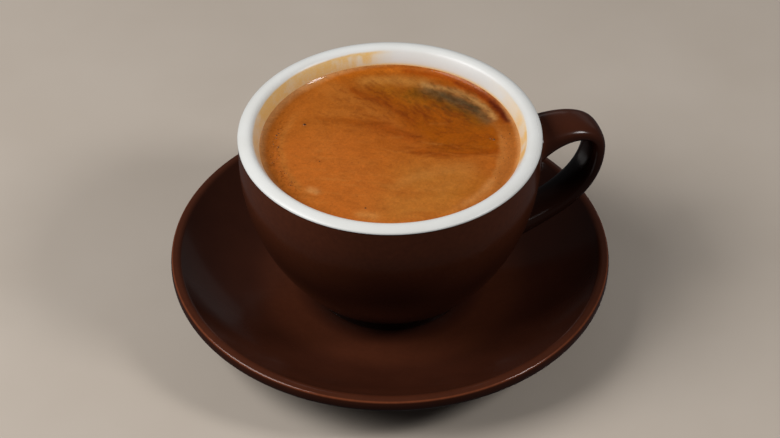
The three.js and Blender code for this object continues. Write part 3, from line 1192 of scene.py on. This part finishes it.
def coffee_side_faces(edge, first):
    """Faces from the middle of the floor up the rings, whose points start at first, to the top's edge."""
    rings = first + np.arange(COFFEE_SIDE_RINGS * len(edge)).reshape(COFFEE_SIDE_RINGS, -1)
    tip = first + rings.size
    return bands(np.array([*rings[::-1], edge])) + fan(tip, rings[-1])


def sight_shift(drop):
    """How far back the line of sight runs while it drops this far."""
    return drop / math.tan(VIEW_ELEVATION)


def make_coffee(material):
    """The drink as one closed solid: a fine round top that climbs the wall, and the hollow below it."""
    top, faces, edge, climb = coffee_top()
    points = np.concatenate([top, *coffee_sides(top[edge]), [[0, 0, HOLLOW_FLOOR]]])
    piece = new_mesh("coffee_fill", points, faces + coffee_side_faces(edge, len(top)))
    u, v = to_view(points)
    seen_v = v - sight_shift(COFFEE_LEVEL - points[:, 2])
    give_colours(piece, "crema", crema_colours(u, seen_v, np.hypot(u, v)))
    around = angle_round(u, v)[: len(top)]
    wet = np.zeros(len(points))
    wet[: len(top)] = change(WET_CLIMB, climb) * change(WET_ROUND, around)
    give_values(piece, "wet", wet)
    dress(piece, material, "coffee", "coffee")


def all_bubbles():
    """The larger bubbles, and tiny ones scattered along the left and right edges."""
    draw = np.random.default_rng(5)
    found = list(BUBBLES)
    for start, end, count in TINY_BUBBLES:
        for _ in range(count):
            around = math.radians(draw.uniform(start, end))
            far = draw.uniform(*TINY_BUBBLE_PLACES)
            found.append((far * math.cos(around), far * math.sin(around), draw.uniform(*TINY_BUBBLE_RADII)))
    return found


def make_bubbles(material):
    """Low domes of foam, joined into one mesh."""
    base = [[0, -BUBBLE_SUNK], [1, -BUBBLE_SUNK]]
    round_top = arc(0, 0, 1, 0, math.pi / 2, steps=4) * [1, BUBBLE_RISE]
    dome, dome_faces = turned(np.concatenate([base, round_top]), segments=12)
    points = []
    faces = []
    for u, v, radius in all_bubbles():
        x, y = to_row(u, v + sight_shift(MENISCUS_RISE))
        faces += [[corner + len(dome) * len(points) for corner in face] for face in dome_faces]
        points.append(dome * radius + [x, y, COFFEE_LEVEL - MENISCUS_RISE])
    piece = new_mesh("crema_bubbles", np.concatenate(points), faces)
    height = np.clip(dome[:, 2] / BUBBLE_RISE, 0, 1)
    give_values(piece, "height", np.tile(height, len(points)))
    dress(piece, material, "coffee")


# Setting

FLOOR_HALF = 3000
LAMP_AIM_HEIGHT = 45
ROOM_LIGHT = (0.05, 0.05, 0.052)
BACKDROP = (0.62, 0.57, 0.52)

# Lamps: bearing in degrees clockwise from straight behind the cup, degrees above the level, distance,
# width, height and watts
LAMPS = {
    "left_box": (255, 45, 1000, 640, 520, 9.5),
    "right_box": (108, 40, 1000, 220, 240, 3.9),
    "back_box": (0, 20, 1200, 500, 160, 0.12),
    "side_box": (31, 13, 1200, 640, 340, 0.08),
}


def make_floor():
    """A plain floor that neither tints the cup nor shows in its gloss."""
    low = -FLOOR_HALF
    high = FLOOR_HALF
    corners = [[low, low, 0], [high, low, 0], [high, high, 0], [low, high, 0]]
    floor = new_mesh("floor", corners, [[0, 1, 2, 3]])
    floor.data.materials.append(plain_floor())
    floor.visible_diffuse = False
    floor.visible_glossy = False
    floor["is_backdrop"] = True


def step_away(bearing, rise, distance):
    """A step in the row frame by its bearing clockwise from straight behind the cup, rise and length."""
    u = math.sin(bearing) * math.cos(rise)
    v = math.cos(bearing) * math.cos(rise)
    return Vector((*to_row(u, v), math.sin(rise))) * distance


def put(name, data, aim_height, step):
    """Places a camera or lamp a step away from a place on the axis, which it faces."""
    thing = bpy.data.objects.new(name, data)
    thing.location = (Vector((0, 0, aim_height)) + step) * MM
    thing.rotation_euler = step.to_track_quat("Z", "Y").to_euler()
    bpy.context.scene.collection.objects.link(thing)
    return thing


def make_camera():
    data = bpy.data.cameras.new("camera")
    data.lens = VIEW_LENS
    data.clip_start = 0.01
    step = step_away(math.pi, VIEW_ELEVATION, VIEW_DISTANCE)
    bpy.context.scene.camera = put("camera", data, VIEW_AIM_HEIGHT, step)


def make_lights():
    for name, (bearing, rise, distance, width, height, power) in LAMPS.items():
        data = bpy.data.lights.new(name, "AREA")
        data.shape = "RECTANGLE"
        data.size = width * MM
        data.size_y = height * MM
        data.energy = power
        put(name, data, LAMP_AIM_HEIGHT, step_away(math.radians(bearing), math.radians(rise), distance))


def make_world():
    """Dim light from all round, and a pale backdrop where the camera looks past the floor."""
    world = bpy.data.worlds.new("studio")
    world.use_nodes = True
    tree = world.node_tree
    seen = add_node(tree, "ShaderNodeLightPath", {}).outputs["Is Camera Ray"]
    colour = mix_colours(tree, seen, ROOM_LIGHT, BACKDROP)
    set_inputs(tree, tree.nodes["Background"], {"Color": colour})
    bpy.context.scene.world = world


def write_sizes():
    """The CAD model's box and the dressed model's box, gathered into a table that is not kept."""
    boxes = {"cad": cad_box, "visual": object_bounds()}
    {name: [list(corner) for corner in box] for name, box in boxes.items()}


make_saucer(brown_glaze("saucer_glaze", SAUCER_ROUGHNESS))
make_cup(brown_glaze("cup_glaze", CUP_ROUGHNESS))
make_lining(white_glaze())
make_coffee(crema())
make_bubbles(bubble_skin())
make_floor()
make_camera()
make_lights()
make_world()
bpy.context.scene.view_settings.view_transform = "Standard"
write_sizes()
